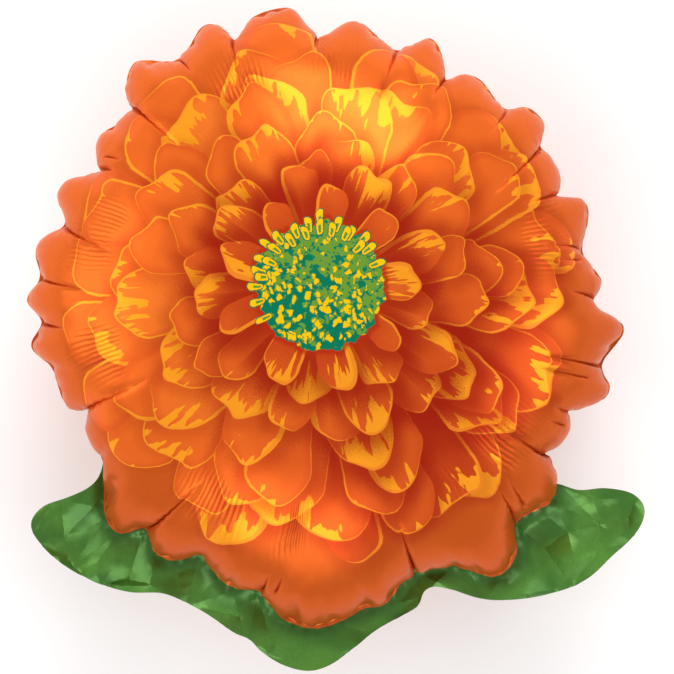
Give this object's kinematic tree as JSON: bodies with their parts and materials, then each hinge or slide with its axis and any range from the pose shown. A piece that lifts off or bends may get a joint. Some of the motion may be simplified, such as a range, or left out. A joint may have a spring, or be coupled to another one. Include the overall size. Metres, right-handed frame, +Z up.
{
  "type": "flower-shaped foil balloon",
  "caption": "Foil balloon shaped as a zinnia head: printed films sealed round a scalloped edge, flat leaf flaps and a self-sealing valve at the tail.",
  "frame": {"origin": "on the surface that the balloon rests on, under the middle of its box", "axes": "+Z up out of the flower's face, through both domes; +Y from the tail between the leaves to the top petal; +X to the right of the flower as seen from its face"},
  "size_m": [0.615, 0.6622, 0.3203],
  "materials": {
    "front_print": "glossy printed metallised film",
    "back_print": "glossy printed metallised film",
    "valve_film": "clear soft film"
  },
  "bodies": {
    "root": {"front_film": "front_print", "back_film": "back_print", "valve_front_ply": "valve_film", "valve_back_ply": "valve_film"}
  },
  "joints": []
}
